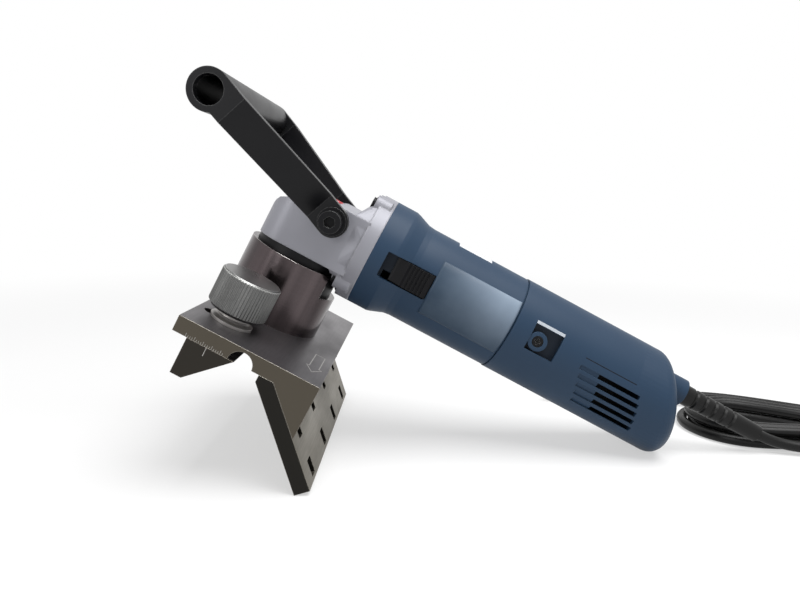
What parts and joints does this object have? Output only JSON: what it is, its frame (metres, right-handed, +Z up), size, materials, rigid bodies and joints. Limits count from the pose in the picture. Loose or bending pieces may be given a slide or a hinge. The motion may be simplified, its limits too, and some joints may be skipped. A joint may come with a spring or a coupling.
{
  "type": "electric chamfering machine",
  "caption": "Hand-held electric edge chamfering machine: a motor body drives a milling cutter through bevel gears, over a V guide with rollers, a clamp knob and a bow handle.",
  "frame": {"origin": "bottom centre of the machine's box as it rests on the lower edge of its guide plate and the heel of its tail", "axes": "+X along the body towards the tail, +Y away from the viewer along the guide, +Z up"},
  "size_m": [0.5114, 0.217, 0.2229],
  "materials": {
    "plate_steel": "machined dark steel, bright worn edges",
    "guide_steel": "ground steel",
    "bright_steel": "turned satin steel",
    "collar_steel": "polished turned steel",
    "dark_screws": "black oxide",
    "gear_steel": "hardened steel",
    "bearing_steel": "ground bearing steel",
    "carbide": "coated carbide",
    "bronze": "sintered bronze and brass",
    "copper": "copper bars",
    "winding": "laminations with varnished winding",
    "black_sleeve": "satin black",
    "grey_casting": "satin grey paint on a casting",
    "housing_blue": "satin blue-grey moulding",
    "switch_black": "satin black moulding",
    "lock_red": "glossy red",
    "carbon": "carbon",
    "handle_black": "semi-gloss black paint",
    "cord_black": "satin black rubber",
    "tie_black": "woven hook-and-loop strap",
    "pin_metal": "nickel-plated brass"
  },
  "bodies": {
    "machine": {"gear_case": "grey_casting", "case_screws": "dark_screws", "sleeve": "black_sleeve", "sleeve_screws": "dark_screws", "spindle_bearing": "bearing_steel", "spindle_bush": "bronze", "motor_housing": "housing_blue", "rear_cover": "housing_blue", "cover_screws": "dark_screws", "switch_block": "switch_black", "stator": "winding", "front_bearing": "bearing_steel", "rear_bearing": "bearing_steel", "brush_holders": "bronze", "carbon_brushes": "carbon", "handle_bolts": "dark_screws", "handle_washers": "dark_screws", "strain_relief": "cord_black", "cord_lead": "cord_black", "cord_hank": "cord_black", "cord_end": "cord_black", "cord_tie": "tie_black", "plug_body": "cord_black", "plug_pins": "pin_metal"},
    "guide_base": {"base_plate": "plate_steel", "guide_plate": "guide_steel", "guide_plate_screws": "dark_screws", "roller_axles": "bright_steel", "collar": "collar_steel", "collar_screw": "dark_screws"},
    "guide_slide": {"guide_block": "plate_steel", "clamp_stud": "bright_steel", "knob_washer": "bright_steel"},
    "knob": {"clamp_knob": "bright_steel"},
    "rollers_1": {"guide_rollers_1": "bright_steel"},
    "rollers_2": {"guide_rollers_2": "bright_steel"},
    "rollers_3": {"guide_rollers_3": "bright_steel"},
    "rollers_4": {"guide_rollers_4": "bright_steel"},
    "cutter_spindle": {"spindle": "bright_steel", "crown_gear": "gear_steel", "cutter_head": "gear_steel", "cutter_inserts": "carbide", "insert_screws": "dark_screws", "cutter_bolt": "dark_screws"},
    "armature": {"armature_shaft": "bright_steel", "armature_core": "winding", "commutator": "copper", "cooling_fan": "switch_black", "drive_pinion": "gear_steel"},
    "switch": {"switch_slider": "switch_black", "switch_rod": "switch_black"},
    "lock": {"lock_button": "lock_red"},
    "bow_handle": {"handle_arm_front": "handle_black", "handle_arm_back": "handle_black", "grip_tube": "handle_black"}
  },
  "joints": [
    {"name": "armature_spin", "type": "hinge", "parent": "machine", "child": "armature", "pos_m": [-0.11348, 0, 0.1423], "axis": [0.8935, 0, -0.449], "continuous": true},
    {"name": "spindle_spin", "type": "hinge", "parent": "machine", "child": "cutter_spindle", "pos_m": [-0.14347, 0, 0.08261], "axis": [0.449, 0, 0.8935], "continuous": true},
    {"name": "switch_slide", "type": "slide", "parent": "machine", "child": "switch", "axis": [-0.8935, 0, 0.449], "range_m": [0, 0.006]},
    {"name": "lock_press", "type": "slide", "parent": "machine", "child": "lock", "axis": [-0.449, 0, -0.8935], "range_m": [0, 0.003], "stiffness_N_per_m": 600, "springref_m": -0.001},
    {"name": "handle_swing", "type": "hinge", "parent": "machine", "child": "bow_handle", "pos_m": [-0.09935, 0, 0.14415], "axis": [0, 1, 0], "range_deg": [-15, 110]},
    {"name": "depth_slide", "type": "slide", "parent": "machine", "child": "guide_base", "axis": [0.449, 0, 0.8935], "range_m": [-0.006, 0.002]},
    {"name": "guide_slide_travel", "type": "slide", "parent": "guide_base", "child": "guide_slide", "axis": [0.8935, 0, -0.449], "range_m": [-0.012, 0.002]},
    {"name": "knob_turn", "type": "hinge", "parent": "guide_slide", "child": "knob", "pos_m": [-0.15016, -0.06, 0.09336], "axis": [0.449, 0, 0.8935], "range_deg": [0, 360]},
    {"name": "rollers_1_spin", "type": "hinge", "parent": "guide_base", "child": "rollers_1", "pos_m": [-0.11835, -0.0735, 0.02911], "axis": [0.3143, 0, -0.9493], "continuous": true},
    {"name": "rollers_2_spin", "type": "hinge", "parent": "guide_base", "child": "rollers_2", "pos_m": [-0.11835, -0.0245, 0.02911], "axis": [0.3143, 0, -0.9493], "continuous": true},
    {"name": "rollers_3_spin", "type": "hinge", "parent": "guide_base", "child": "rollers_3", "pos_m": [-0.11835, 0.0245, 0.02911], "axis": [0.3143, 0, -0.9493], "continuous": true},
    {"name": "rollers_4_spin", "type": "hinge", "parent": "guide_base", "child": "rollers_4", "pos_m": [-0.11835, 0.0735, 0.02911], "axis": [0.3143, 0, -0.9493], "continuous": true}
  ],
  "couplings": [
    {"joint": "spindle_spin", "follows": "armature_spin", "ratio": 0.2973}
  ]
}
